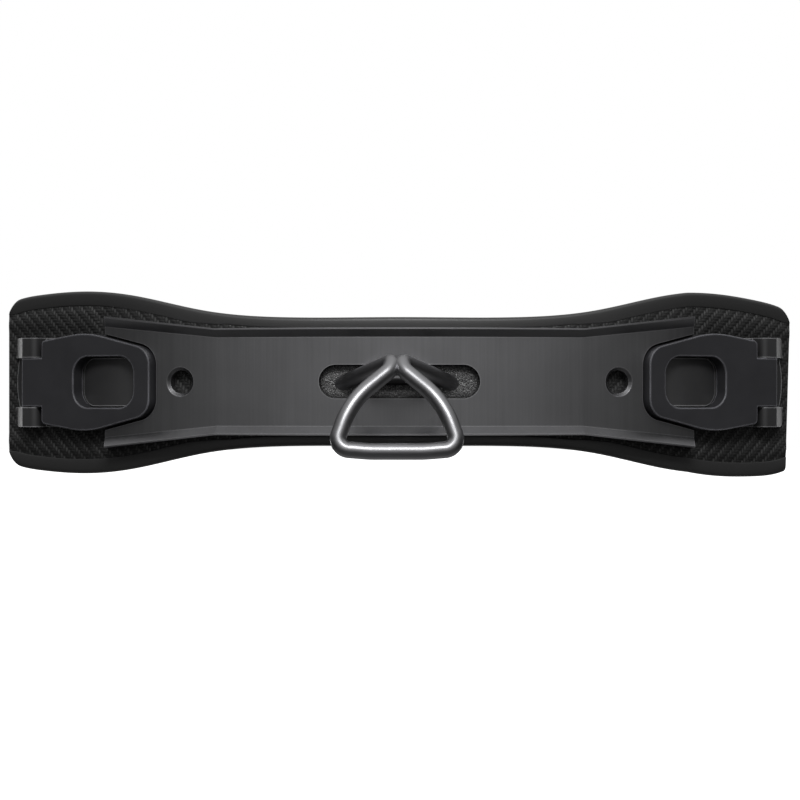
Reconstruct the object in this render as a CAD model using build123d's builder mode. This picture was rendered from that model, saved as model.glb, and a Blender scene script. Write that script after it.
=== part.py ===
from build123d import *
from math import asin, cos, degrees, pi, radians, sin
import os

# Harness spreader bar with a fixed bent-rod hook, a lever buckle at each end and a shaped pad.
#
# Frame: millimetres, +Z up, the hook side faces -Y, +X to the wearer's left. The origin is the middle of
# the bar's recessed front face. The bar follows the body on an arc of BODY_RADIUS about a vertical axis
# behind it, and past WING_TILT degrees each wing runs on straight. `n` is the height above the recessed
# face, measured outwards along its normal, `s` the distance outwards along a wing from the end of the arc,
# and `z` the height.

# ---- the curve that everything follows ----
BODY_RADIUS = 360.0  # radius of the recessed front face
WING_TILT = 26.0  # degrees turned where the straight wings start
TALL = 140.0  # taller than anything, for cutting blanks

# ---- bar ----
BAR_LENGTH = 305.0  # a 12 inch bar, measured across its ends
BLANK_EXTRA = 4.0  # the ends are made this much longer, then cut square to the front
FLARE_START = 92.5  # half length of the stretch of constant height
BAR_HALF_HEIGHT = 26.9
END_HALF_HEIGHT = 34.0
FACE_HALF_HEIGHT = 22.4  # recessed face inside the sloping rims
END_FACE_HALF_HEIGHT = 28.7
RIM_PROUD = 4.0  # rims stand this far in front of the face
RIM_LAND = 0.7  # flat top of a rim
BAR_BACK = -7.0
FLARE_SECTIONS = 4
SLOT_LENGTH = 81.0
SLOT_HEIGHT = 17.0
EYE_X = 111.8  # accessory holes
EYE_DIAMETER = 12.0
EYE_CHAMFER = 1.5

# ---- hook ----
ROD = 8.0
HOOK_SHIFT = -1.2  # the hook plate is clamped this far off centre
HOOK_HALF = [
    (28.9, 9.5, -1.5),  # root, behind the plate
    (1.8, -26.5, 9.8),  # crest, where the halves meet and are welded
    (3.6, -31.0, 5.0),  # foot of the weld
    (22.3, -40.0, -10.3),  # bow of the leg
    (30.0, -46.0, -32.4),  # lower corner
    (13.0, -46.0, -33.75),  # start of the level bottom bar
    (0.0, -46.0, -33.75),  # middle of the bottom bar
]
HOOK_RADII = [5.5, 7.0, 45.0, 5.5, 60.0]  # one for each corner of the path
PLATE_FRONT = -4.5  # floor of the slot
PLATE_HALF_LENGTH = 52.0
PLATE_HALF_HEIGHT = 13.0
PLATE_GAP = 0.2
PLATE_SCREW_X = 46.5
PLATE_SCREW_Z = 8.0
PLATE_SCREW = (5.4, 1.5, 2.8)  # length, radius and head radius
BRIDGE_LENGTH = 40.0
BRIDGE_TOP = 4.2
BRIDGE_BOTTOM = -1.8
BRIDGE_FRONT = -1.0  # y of the bridge's rounded front
BRIDGE_REACH = 4.0  # from the middle of that rounding back into the plate

# ---- pad, in layers from front to back ----
PAD_HALF_LENGTH = 209.6
PAD_EDGE = [(0.0, 32.6), (60.0, 32.8), (100.0, 36.6), (138.0, 45.0), (163.0, 47.8), (190.0, 46.8)]
PAD_CORNER_HEIGHT = 42.5
PAD_CORNER_RADIUS = 7.0
PAD_SHARP_RADIUS = 1.2  # the lower right-hand corner is cut nearly square
PAD_END_SLOPE = 0.45  # how fast the edges close in at the pad's ends
PAD_SLAB_REACH = 75.0  # longer than the pad's wings
DROOP_START = 150.0  # from here out the right-hand end hangs a little
DROOP_SLOPE = 0.078
END_SLANT = 2.7  # the right-hand end edge leans in by this much over its height
TRIM_WIDTH = 5.5
FACING_BACK = -8.0
STIFFENER_BACK = -9.5
CORE_BACK = -17.0
LINING_BACK = -18.0
STIFFENER_INSET = 8.0
STIFFENER_END_INSET = 4.0
PAD_SCREW_X = 75.0
PAD_SCREW_Z = 15.0
PAD_SCREW = (7.0, 2.0, 3.4)
HEX_DEPTH = 0.8  # of the head's height
HEX_RADIUS = 0.45  # of the head's radius

# ---- buckles, on the wings ----
LEVER_FRONT = 3.0
LEVER_BACK = -5.3
LEVER_INNER = -34.9
LEVER_OUTER = 32.4
LEVER_CORNER = 16.7  # z where the inner end meets the slanting side
LEVER_PEAK = (4.1, 26.1)
LEVER_OUTER_Z = 21.7
LEVER_ROUND = (10.0, 50.0, 2.5)  # inner corner, peak, outer corner
LEVER_WALL = 2.2
LEVER_DECK = 3.2  # thickness of the lever's front deck
TAIL_HALF_HEIGHT = 12.8
CUTOUT_GAP = 1.2
WINDOW_CENTRE = -6.6
WINDOW_LENGTH = 37.2
WINDOW_HEIGHT = 26.4
WINDOW_ROUND = 9.0
HINGE_S = 38.8
HINGE_N = 0.1
HUB_RADIUS = 6.75  # everything of the lever outside the hinge stays inside this
HUB_THICK = 3.1
BASE_FRONT = -5.8
FRAME_HALF_HEIGHT = 23.5
FRAME_SHOULDER = 27.0
FRAME_OUTER = 55.3
FRAME_INSET = 1.5
EAR_GAP = 0.3
EAR_KNUCKLE = 3.2  # radius of the knuckle, which the ear's flat continues
EAR_STEP = 44.5  # where the flat gives way to the sloping end
EAR_FOOT = 55.1  # where the sloping end meets the base
EAR_CORNER = 4.0
EAR_TAPER = 1.3  # the ears' ends lean in by this much towards their outer sides
THROAT_INNER = 31.0
THROAT_OUTER = 48.6
END_BAR_FRONT = -4.6
END_BAR_OUTER = 51.9
END_BAR_BULGE = 1.7
BARREL_GAP = 0.8  # between the finger window and the round-backed stop on its floor
BARREL_RISE = 3.4
PIN_RADIUS = 1.5
PIN_CHAMFER = 0.4
TAIL_OVERLAP = 1.0  # of the tail's bar into the lever's body
BUSH_RADIUS = 2.2
BUSH_BORE = 1.54
RIVETS = [(-30.0, 8.0), (-30.0, -8.0), (22.0, 14.0), (22.0, -14.0)]
RIVET_RADIUS = 1.6
RIVET_HEAD = 2.4
RIVET_HEAD_HEIGHT = 0.8
SPRING_INNER = 16.0
SPRING_OUTER = 29.0
SPRING_HALF_HEIGHT = 5.0
SPRING_THICK = 0.5
SPRING_RISE = 2.0
EDGE_ROUND = 0.6


def on_arc(angle, n, z=0.0):
    """The point `n` above the face at `angle` degrees round the arc."""
    radius = BODY_RADIUS + n
    return (radius * sin(radians(angle)), BODY_RADIUS - radius * cos(radians(angle)), z)


def face_angle(x):
    return degrees(asin(x / BODY_RADIUS))


def arc_plane(angle, n=0.0, z=0.0):
    """A plane lying on the arc: x along the bar, y up, z out of its front."""
    outwards = (sin(radians(angle)), -cos(radians(angle)), 0)
    along = (cos(radians(angle)), sin(radians(angle)), 0)
    return Plane(origin=on_arc(angle, n, z), x_dir=along, z_dir=outwards)


def section_plane(angle):
    """A plane across the bar: x out of its front, y up."""
    outwards = (sin(radians(angle)), -cos(radians(angle)), 0)
    inwards_along = (-cos(radians(angle)), -sin(radians(angle)), 0)
    return Plane(origin=on_arc(angle, 0), x_dir=outwards, z_dir=inwards_along)


def wing_plane(n=0.0):
    """A plane lying on the right-hand wing: x is s, y is up, z out of its front."""
    return arc_plane(WING_TILT, n)


def wing_point(s, n):
    start = on_arc(WING_TILT, n)
    return (start[0] + s * cos(radians(WING_TILT)), start[1] + s * sin(radians(WING_TILT)))


def finish(builder, label):
    builder.part.label = label
    export_step(builder.part, f"parts/{label}.step")
    print(f"{label:26s} {builder.part.volume / 1000:9.2f} cm3")


def curved_slab(front, back, reach, half_height):
    """A slab between heights `front` and `back` that follows the arc and both wings."""
    with BuildPart() as slab:
        with BuildSketch(Plane.XY.offset(-half_height)):
            with BuildLine():
                ends = {}
                for n in (front, back):
                    right = on_arc(WING_TILT, n)[:2]
                    left = (-right[0], right[1])
                    ThreePointArc(left, on_arc(0, n)[:2], right)
                    tip = wing_point(reach, n)
                    Line(right, tip)
                    Line(left, (-tip[0], tip[1]))
                    ends[n] = tip
                for side in (1, -1):
                    Line((side * ends[front][0], ends[front][1]), (side * ends[back][0], ends[back][1]))
            make_face()
        extrude(amount=2 * half_height)
    return slab.part


def arc_block(front, back, half_length, half_height):
    """A block of the arc alone, `half_length` along X at the face."""
    angle = face_angle(half_length)
    with BuildPart() as block:
        with BuildSketch(Plane.XY.offset(-half_height)):
            with BuildLine():
                for n in (front, back):
                    ThreePointArc(on_arc(-angle, n)[:2], on_arc(0, n)[:2], on_arc(angle, n)[:2])
                for side in (1, -1):
                    Line(on_arc(side * angle, front)[:2], on_arc(side * angle, back)[:2])
            make_face()
        extrude(amount=2 * half_height)
    return block.part


# ---- bar ----
def bar_section(angle, half_height, face_half_height):
    """The bar's channel section: flat back, raised rims sloping down to the recessed face."""
    upper = [
        (0, face_half_height),
        (RIM_PROUD, half_height - RIM_LAND),
        (RIM_PROUD, half_height),
        (BAR_BACK, half_height),
    ]
    lower = [(n, -z) for n, z in reversed(upper)]
    with BuildSketch(section_plane(angle)) as section:
        with BuildLine():
            Polyline(*upper, *lower, close=True)
        make_face()
    return section.sketch


def lever_outline(grow=0.0):
    """The lever's body seen from the front, without its tail."""
    inner_round, peak_round, outer_round = LEVER_ROUND
    with BuildSketch(Plane.XY, mode=Mode.PRIVATE) as outline:
        with BuildLine():
            upper = FilletPolyline(
                (LEVER_INNER, 0),
                (LEVER_INNER, LEVER_CORNER),
                LEVER_PEAK,
                (LEVER_OUTER, LEVER_OUTER_Z),
                (LEVER_OUTER, 0),
                radius=(inner_round, peak_round, outer_round),
            )
            mirror(upper, about=Plane.XZ)
        make_face()
        if grow:
            offset(amount=grow, kind=Kind.INTERSECTION)
    return outline.sketch


def cylinder_on(plane, radius, height):
    """A cylinder standing on `plane`, along its normal."""
    with BuildPart() as rod:
        with BuildSketch(plane):
            Circle(radius)
        extrude(amount=height)
    return rod.part


# ---- fasteners, made first because their seats are cut with them ----
def countersunk_screws(label, places, n_head, length, radius, head_radius):
    """Screws driven forwards from the back; the flat of each head lies at height `n_head`."""
    head_height = head_radius - radius
    with BuildPart() as screws:
        for x, z in places:
            seat = arc_plane(face_angle(x), n_head, z)
            add(cylinder_on(seat, radius, length))
            with BuildSketch(seat):
                Circle(head_radius)
            with BuildSketch(seat.offset(head_height)):
                Circle(radius)
            loft()
            with BuildSketch(seat):
                RegularPolygon(head_radius * HEX_RADIUS, 6)
            extrude(amount=head_height * HEX_DEPTH, mode=Mode.SUBTRACT)
    finish(screws, label)
    return screws.part


os.makedirs("parts", exist_ok=True)
corners = [(1, 1), (1, -1), (-1, 1), (-1, -1)]
plate_screw_places = [(x * PLATE_SCREW_X, z * PLATE_SCREW_Z) for x, z in corners]
pad_screw_places = [(x * PAD_SCREW_X, z * PAD_SCREW_Z) for x, z in corners]
plate_screws = countersunk_screws("hook_plate_screws", plate_screw_places, BAR_BACK, *PLATE_SCREW)
pad_screws = countersunk_screws("pad_screws", pad_screw_places, STIFFENER_BACK, *PAD_SCREW)

# ---- hook ----
hook_middle = Plane.YZ.offset(HOOK_SHIFT)

with BuildPart() as hook_rod:
    with BuildLine() as hook_path:
        FilletPolyline(*[(x + HOOK_SHIFT, y, z) for x, y, z in HOOK_HALF], radius=HOOK_RADII)
    path = hook_path.wires()[0]
    with BuildSketch(Plane(origin=path @ 0, z_dir=path % 0)):
        Circle(ROD / 2)
    sweep(path=path)
    print("share of the hook's full rod volume", hook_rod.part.volume / (path.length * pi * ROD**2 / 4))
    split(bisect_by=hook_middle, keep=Keep.TOP)
    mirror(about=hook_middle)
    add(arc_block(BAR_BACK, -TALL / 4, PLATE_HALF_LENGTH, PLATE_HALF_HEIGHT), mode=Mode.SUBTRACT)

with BuildPart() as hook_plate:
    add(arc_block(PLATE_FRONT, BAR_BACK, PLATE_HALF_LENGTH, PLATE_HALF_HEIGHT))
    add(hook_rod.part, mode=Mode.SUBTRACT)
    add(plate_screws, mode=Mode.SUBTRACT)

with BuildPart() as hook_bridge:
    bridge_radius = (BRIDGE_TOP - BRIDGE_BOTTOM) / 2
    with BuildSketch(hook_middle.offset(-BRIDGE_LENGTH / 2)):
        with Locations((BRIDGE_FRONT + bridge_radius, BRIDGE_BOTTOM + bridge_radius)):
            Circle(bridge_radius)
            Rectangle(BRIDGE_REACH, 2 * bridge_radius, align=(Align.MIN, Align.CENTER))
    extrude(amount=BRIDGE_LENGTH)
    add(arc_block(PLATE_FRONT, BAR_BACK, PLATE_HALF_LENGTH, PLATE_HALF_HEIGHT), mode=Mode.SUBTRACT)
    add(hook_rod.part, mode=Mode.SUBTRACT)
    keep = hook_bridge.solids().sort_by(SortBy.VOLUME)[-1]
    add(keep, mode=Mode.REPLACE)

finish(hook_rod, "hook_rod")
finish(hook_plate, "hook_plate")
finish(hook_bridge, "hook_bridge")

# ---- bar ----
bar_end_angle = face_angle(BAR_LENGTH / 2)
blank_end_angle = face_angle(BAR_LENGTH / 2 + BLANK_EXTRA)
flare_angle = face_angle(FLARE_START)

with BuildPart() as bar_shell:
    add(bar_section(-flare_angle, BAR_HALF_HEIGHT, FACE_HALF_HEIGHT))
    revolve(axis=Axis((0, BODY_RADIUS, 0), (0, 0, 1)), revolution_arc=2 * flare_angle)
    for side in (1, -1):
        sections = []
        for step in range(FLARE_SECTIONS + 1):
            angle = flare_angle + step / FLARE_SECTIONS * (blank_end_angle - flare_angle)
            share = (angle - flare_angle) / (bar_end_angle - flare_angle)
            half_height = BAR_HALF_HEIGHT + share * (END_HALF_HEIGHT - BAR_HALF_HEIGHT)
            face_half = FACE_HALF_HEIGHT + share * (END_FACE_HALF_HEIGHT - FACE_HALF_HEIGHT)
            sections.append(bar_section(side * angle, half_height, face_half))
        loft(sections)
    Box(BAR_LENGTH, TALL, TALL, mode=Mode.INTERSECT)
    with BuildSketch(Plane.XZ.offset(TALL / 2)):
        SlotOverall(SLOT_LENGTH, SLOT_HEIGHT)
    extrude(amount=-TALL, mode=Mode.SUBTRACT)
    for side in (1, -1):
        eye = arc_plane(side * face_angle(EYE_X), 2 * BAR_BACK)
        add(cylinder_on(eye, EYE_DIAMETER / 2, -2 * BAR_BACK + RIM_PROUD), mode=Mode.SUBTRACT)
        with BuildSketch(arc_plane(side * face_angle(EYE_X), -EYE_CHAMFER)):
            Circle(EYE_DIAMETER / 2)
        with BuildSketch(arc_plane(side * face_angle(EYE_X), EYE_CHAMFER)):
            Circle(EYE_DIAMETER / 2 + 2 * EYE_CHAMFER)
        loft(mode=Mode.SUBTRACT)
    with BuildSketch(wing_plane(-TALL / 4)):
        add(lever_outline(CUTOUT_GAP))
        with Locations((LEVER_OUTER, 0)):
            Rectangle(LEVER_OUTER, 2 * LEVER_PEAK[1])
    cutout = extrude(amount=TALL / 2, mode=Mode.PRIVATE)
    add(cutout, mode=Mode.SUBTRACT)
    mirror(cutout, about=Plane.YZ, mode=Mode.SUBTRACT)
    pocket_height = PLATE_HALF_HEIGHT + PLATE_GAP
    add(
        arc_block(PLATE_FRONT, BAR_BACK - 1, PLATE_HALF_LENGTH + PLATE_GAP, pocket_height),
        mode=Mode.SUBTRACT,
    )
    add(plate_screws, mode=Mode.SUBTRACT)
    add(pad_screws, mode=Mode.SUBTRACT)
finish(bar_shell, "bar_shell")


# ---- buckles ----
def both_sides(builder, name):
    """Write the right-hand piece and its mirror image."""
    finish(builder, f"right_{name}")
    with BuildPart() as other:
        mirror(builder.part, about=Plane.YZ)
    finish(other, f"left_{name}")
    return other.part


def hinge_cylinder(radius, half_height):
    """A cylinder along the hinge of the right-hand lever."""
    x, y = wing_point(HINGE_S, HINGE_N)
    return cylinder_on(Plane.XY.offset(-half_height).move(Location((x, y, 0))), radius, 2 * half_height)


def wing_section(z):
    """A plane across the wing: x is s, y is n, placed at height z."""
    start = on_arc(WING_TILT, 0, z)
    along = (cos(radians(WING_TILT)), sin(radians(WING_TILT)), 0)
    return Plane(origin=start, x_dir=along, z_dir=(0, 0, -1))


def window_sketch(grow=0.0):
    with BuildSketch(Plane.XY, mode=Mode.PRIVATE) as window:
        with Locations((WINDOW_CENTRE, 0)):
            RectangleRounded(WINDOW_LENGTH + 2 * grow, WINDOW_HEIGHT + 2 * grow, WINDOW_ROUND + grow)
    return window.sketch


with BuildPart() as lever_pin:
    add(hinge_cylinder(PIN_RADIUS, FRAME_HALF_HEIGHT - PIN_CHAMFER))
    chamfer(lever_pin.edges().filter_by(GeomType.CIRCLE), PIN_CHAMFER)

with BuildPart() as lever_bush:
    add(hinge_cylinder(BUSH_RADIUS, TAIL_HALF_HEIGHT))
    add(hinge_cylinder(BUSH_BORE, TAIL_HALF_HEIGHT), mode=Mode.SUBTRACT)


def front_edges(builder, n):
    """The edges of the flat face that lies at height `n` on the right-hand wing."""
    plane = wing_plane(n)
    on_plane = [face for face in builder.faces().filter_by(GeomType.PLANE) if plane.contains(face.center())]
    return max(on_plane, key=lambda face: face.area).edges()


with BuildPart() as lever:
    with BuildSketch(wing_plane(LEVER_BACK)):
        add(lever_outline())
        add(window_sketch(), mode=Mode.SUBTRACT)
    extrude(amount=LEVER_FRONT - LEVER_BACK)
    # hollow underneath, with a wall all round and round the window
    with BuildSketch(wing_plane(LEVER_BACK)):
        add(lever_outline(-LEVER_WALL))
        add(window_sketch(LEVER_WALL), mode=Mode.SUBTRACT)
    extrude(amount=LEVER_FRONT - LEVER_BACK - LEVER_DECK, mode=Mode.SUBTRACT)
    # hub and tail, between the ears
    tail_thick = LEVER_FRONT - HINGE_N + HUB_THICK
    tail_middle = LEVER_FRONT - tail_thick / 2
    with BuildSketch(wing_section(TAIL_HALF_HEIGHT)):
        with Locations((HINGE_S, HINGE_N)):
            Circle(HUB_RADIUS)
        with Locations((HINGE_S, tail_middle)):
            Rectangle(2 * HUB_RADIUS, tail_thick, mode=Mode.INTERSECT)
        with Locations(((LEVER_OUTER + HINGE_S) / 2 - TAIL_OVERLAP, tail_middle)):
            Rectangle(HINGE_S - LEVER_OUTER + 2 * TAIL_OVERLAP, tail_thick)
    extrude(amount=2 * TAIL_HALF_HEIGHT)
    fillet(front_edges(lever, LEVER_FRONT), EDGE_ROUND)
    add(hinge_cylinder(BUSH_RADIUS, TAIL_HALF_HEIGHT), mode=Mode.SUBTRACT)

with BuildPart() as rivets:
    for s, z in RIVETS:
        seat = wing_plane(BASE_FRONT).shift_origin(wing_plane(BASE_FRONT).from_local_coords((s, z, 0)))
        add(cylinder_on(seat, RIVET_RADIUS, STIFFENER_BACK - BASE_FRONT))
        add(cylinder_on(seat, RIVET_HEAD, RIVET_HEAD_HEIGHT))


def bulged_strip(s_inner, s_outer, half_height):
    """A strip across the wing whose outer edge bulges outwards by END_BAR_BULGE."""
    with BuildSketch(Plane.XY, mode=Mode.PRIVATE) as strip:
        with BuildLine():
            upper = [(s_outer, half_height), (s_inner, half_height)]
            lower = [(s, -z) for s, z in reversed(upper)]
            Polyline(*upper, *lower)
            ThreePointArc(upper[0], (s_outer + END_BAR_BULGE, 0), lower[-1])
        make_face()
    return strip.sketch


throat_half_height = TAIL_HALF_HEIGHT + EAR_GAP


def frame_outline():
    """The frame seen from the front: narrow under the lever, full height at the ears, open between them."""
    with BuildSketch(Plane.XY, mode=Mode.PRIVATE) as outline:
        with BuildLine():
            upper = [
                (FRAME_SHOULDER, FRAME_HALF_HEIGHT),
                (FRAME_OUTER - EAR_TAPER, FRAME_HALF_HEIGHT),
                (FRAME_OUTER, throat_half_height),
            ]
            lower = [(s, -z) for s, z in reversed(upper)]
            Polyline(*upper, *lower, close=True)
        make_face()
        fillet(outline.vertices().group_by(Axis.X)[1], EAR_CORNER)
        add(lever_outline(-FRAME_INSET))
        throat_length = FRAME_OUTER - THROAT_INNER
        with Locations((THROAT_INNER + throat_length / 2, 0)):
            Rectangle(throat_length, 2 * throat_half_height, mode=Mode.SUBTRACT)
        add(bulged_strip(THROAT_OUTER, END_BAR_OUTER, throat_half_height))
    return outline.sketch


with BuildPart() as barrel:
    half_length = WINDOW_LENGTH / 2 - BARREL_GAP
    with BuildSketch(wing_section(WINDOW_HEIGHT / 2)):
        with BuildLine():
            back = ThreePointArc(
                (WINDOW_CENTRE - half_length, BASE_FRONT),
                (WINDOW_CENTRE, BASE_FRONT + BARREL_RISE),
                (WINDOW_CENTRE + half_length, BASE_FRONT),
            )
            Line(back @ 0, back @ 1)
        make_face()
    extrude(amount=WINDOW_HEIGHT)
    with BuildSketch(wing_plane(BAR_BACK)):
        add(window_sketch(-BARREL_GAP))
    extrude(amount=TALL / 4, mode=Mode.INTERSECT)

with BuildPart() as buckle_frame:
    # flat base
    with BuildSketch(wing_plane(BAR_BACK)):
        add(frame_outline())
    extrude(amount=BASE_FRONT - BAR_BACK)
    add(barrel.part)
    # ears with a knuckle, a flat and a sloping end
    for side in (1, -1):
        with BuildSketch(wing_section(side * FRAME_HALF_HEIGHT)):
            with BuildLine():
                Polyline(
                    (HINGE_S - EAR_KNUCKLE, BAR_BACK),
                    (HINGE_S - EAR_KNUCKLE, HINGE_N),
                    (HINGE_S, HINGE_N + EAR_KNUCKLE),
                    (EAR_STEP, HINGE_N + EAR_KNUCKLE),
                    (EAR_FOOT, BASE_FRONT),
                    (EAR_FOOT, BAR_BACK),
                    close=True,
                )
            make_face()
            with Locations((HINGE_S, HINGE_N)):
                Circle(EAR_KNUCKLE)
        extrude(amount=side * (FRAME_HALF_HEIGHT - throat_half_height))
    # end bar that the webbing loops round
    with BuildSketch(wing_plane(BAR_BACK)):
        add(bulged_strip(THROAT_OUTER, END_BAR_OUTER, throat_half_height))
    extrude(amount=END_BAR_FRONT - BAR_BACK)
    # the corners of the ears are rounded like the base
    with BuildSketch(wing_plane(BAR_BACK)):
        add(frame_outline())
    extrude(amount=TALL / 4, mode=Mode.INTERSECT)
    add(hinge_cylinder(PIN_RADIUS, FRAME_HALF_HEIGHT), mode=Mode.SUBTRACT)
    add(rivets.part, mode=Mode.SUBTRACT)

with BuildPart() as detent_spring:
    with BuildSketch(wing_section(SPRING_HALF_HEIGHT)):
        with BuildLine():
            arch = ThreePointArc(
                (SPRING_INNER, BASE_FRONT),
                ((SPRING_INNER + SPRING_OUTER) / 2, BASE_FRONT + SPRING_RISE),
                (SPRING_OUTER, BASE_FRONT),
            )
            top = ThreePointArc(
                (SPRING_INNER - SPRING_THICK, BASE_FRONT),
                ((SPRING_INNER + SPRING_OUTER) / 2, BASE_FRONT + SPRING_RISE + SPRING_THICK),
                (SPRING_OUTER + SPRING_THICK, BASE_FRONT),
            )
            Line(arch @ 0, top @ 0)
            Line(arch @ 1, top @ 1)
        make_face()
    extrude(amount=2 * SPRING_HALF_HEIGHT)

for builder, name in (
    (lever, "lever"),
    (lever_pin, "lever_pin"),
    (lever_bush, "lever_bush"),
    (buckle_frame, "buckle_frame"),
    (detent_spring, "detent_spring"),
):
    both_sides(builder, name)
left_rivets = both_sides(rivets, "frame_rivets")


# ---- pad ----
def hung(x, z):
    """Where a point of a level pad lies, with the right-hand end hanging a little."""
    past = max(0.0, x - DROOP_START)
    share_out = past / (PAD_HALF_LENGTH - DROOP_START)
    share_down = (PAD_CORNER_HEIGHT - z) / (2 * PAD_CORNER_HEIGHT)
    return (x - END_SLANT * share_out * share_down, z - past * DROOP_SLOPE)


def pad_prism(inset, end_inset=0.0):
    """The pad's outline seen from the front, `inset` inside its upper and lower edges, cut right through."""
    edge = PAD_EDGE + [(PAD_HALF_LENGTH - end_inset, PAD_CORNER_HEIGHT)]
    with BuildPart() as prism:
        with BuildSketch(Plane.XZ):
            with BuildLine():
                for side in (1, -1):
                    end_slope = DROOP_SLOPE if side > 0 else 0.0
                    tips = []
                    for up in (1, -1):
                        points = [hung(side * x, up * (z - inset)) for x, z in edge]
                        tangents = ((side, 0), (side, -up * PAD_END_SLOPE - end_slope))
                        Spline(*points, tangents=tangents)
                        tips.append(points[-1])
                    Line(*tips)
            make_face()
        extrude(amount=TALL * 2, both=True)
        left_lower, left_upper = prism.edges().filter_by(Axis.Y).sort_by(Axis.X)[:2]
        right_lower, right_upper = prism.edges().filter_by(Axis.Y).sort_by(Axis.X)[-2:]
        if PAD_CORNER_RADIUS > inset:
            fillet([left_lower, left_upper, right_upper], PAD_CORNER_RADIUS - inset)
        if PAD_SHARP_RADIUS > inset:
            square = prism.edges().filter_by(Axis.Y).sort_by(lambda e: e.center().Z - e.center().X)[0]
            fillet(square, PAD_SHARP_RADIUS)
    return prism.part


def pad_layer(label, front, back, inset, end_inset=0.0, cuts=()):
    with BuildPart() as layer:
        add(curved_slab(front, back, PAD_SLAB_REACH, TALL / 2))
        add(pad_prism(inset, end_inset), mode=Mode.INTERSECT)
        for cut in cuts:
            add(cut, mode=Mode.SUBTRACT)
    finish(layer, label)
    return layer


both_rivets = [rivets.part, left_rivets]
pad_layer("pad_facing", BAR_BACK, FACING_BACK, TRIM_WIDTH, cuts=[pad_screws] + both_rivets)
stiffener = pad_layer(
    "pad_stiffener",
    FACING_BACK,
    STIFFENER_BACK,
    STIFFENER_INSET,
    end_inset=STIFFENER_END_INSET,
    cuts=[pad_screws] + both_rivets,
)
pad_layer("pad_core", FACING_BACK, CORE_BACK, TRIM_WIDTH, cuts=[stiffener.part, pad_screws] + both_rivets)
pad_layer("pad_lining", CORE_BACK, LINING_BACK, TRIM_WIDTH)

for label, side in (("pad_trim_upper", 1), ("pad_trim_lower", -1)):
    with BuildPart() as trim:
        add(curved_slab(BAR_BACK, LINING_BACK, PAD_SLAB_REACH, TALL / 2))
        add(pad_prism(0), mode=Mode.INTERSECT)
        add(pad_prism(TRIM_WIDTH), mode=Mode.SUBTRACT)
        split(bisect_by=Plane.XY, keep=Keep.TOP if side > 0 else Keep.BOTTOM)
    finish(trim, label)
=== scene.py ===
import math

import bmesh
import bpy
import numpy as np
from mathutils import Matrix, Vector


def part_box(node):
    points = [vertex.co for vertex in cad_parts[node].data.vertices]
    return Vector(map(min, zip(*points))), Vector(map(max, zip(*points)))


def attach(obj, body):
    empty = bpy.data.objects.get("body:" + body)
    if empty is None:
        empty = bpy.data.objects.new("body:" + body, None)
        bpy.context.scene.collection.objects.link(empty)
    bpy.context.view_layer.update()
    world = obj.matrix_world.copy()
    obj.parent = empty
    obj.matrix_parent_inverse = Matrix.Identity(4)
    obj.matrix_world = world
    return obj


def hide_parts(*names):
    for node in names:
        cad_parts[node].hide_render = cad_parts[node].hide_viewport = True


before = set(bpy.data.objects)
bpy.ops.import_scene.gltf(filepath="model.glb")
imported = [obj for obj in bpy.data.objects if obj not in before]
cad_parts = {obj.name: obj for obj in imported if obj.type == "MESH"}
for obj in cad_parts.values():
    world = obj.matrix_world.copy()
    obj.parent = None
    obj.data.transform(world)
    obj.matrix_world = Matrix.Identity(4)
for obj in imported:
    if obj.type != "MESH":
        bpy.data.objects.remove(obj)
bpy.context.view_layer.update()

# ---- the curve that the bar and the pad follow, in metres ----
MM = 0.001
BODY_RADIUS = 0.360  # radius of the bar's recessed face
WING_TILT = math.radians(26.0)  # angle turned where the straight wings start
ROOT = "harness_bar"
SIDES = ("left", "right")

# heights above the recessed face, measured outwards along its normal
PAD_FRONT = -7.0 * MM
FACING_BACK = -8.0 * MM
LINING_BACK = -18.0 * MM

PAD_HALF_LENGTH = -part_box("pad_lining")[0].x
PAD_EDGE_X = (0.0, 0.060, 0.100, 0.138, 0.163, 0.190, PAD_HALF_LENGTH)
PAD_EDGE_Z = (0.0326, 0.0328, 0.0366, 0.0450, 0.0478, 0.0468, 0.0425)
PAD_END_SLOPE = -0.45
PAD_CORNER = 7.0 * MM
SHARP_CORNER = 1.2 * MM  # the lower right-hand corner is cut nearly square
TRIM_WIDTH = 5.5 * MM
LAP = 2.2 * MM  # the edge bands' front lips lap over the cloth by this much
DROOP_START = 0.150  # from here out the right-hand end of the pad hangs a little
DROOP_SLOPE = 0.078
END_SLANT = 2.7 * MM  # and its end edge leans in by this much over its height


def smooth(edge0, edge1, value):
    """0 below edge0, 1 above edge1, a smooth step between them."""
    share = np.clip((np.asarray(value, float) - edge0) / (edge1 - edge0), 0.0, 1.0)
    return share * share * (3 - 2 * share)


def depth(x, n):
    """The y of the surface that runs at height n above the bar's face, at that x."""
    x = np.abs(np.asarray(x, float))
    radius = BODY_RADIUS + n
    turn = radius * math.sin(WING_TILT)
    on_arc = BODY_RADIUS - np.sqrt(np.maximum(radius**2 - np.minimum(x, turn) ** 2, 0.0))
    return on_arc + np.maximum(x - turn, 0.0) * math.tan(WING_TILT)


def along(x):
    """Distance along the face from its middle to x, with the sign of x."""
    x = np.asarray(x, float)
    turn = BODY_RADIUS * math.sin(WING_TILT)
    on_arc = BODY_RADIUS * np.arcsin(np.minimum(np.abs(x), turn) / BODY_RADIUS)
    return np.sign(x) * (on_arc + np.maximum(np.abs(x) - turn, 0.0) / math.cos(WING_TILT))


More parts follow.
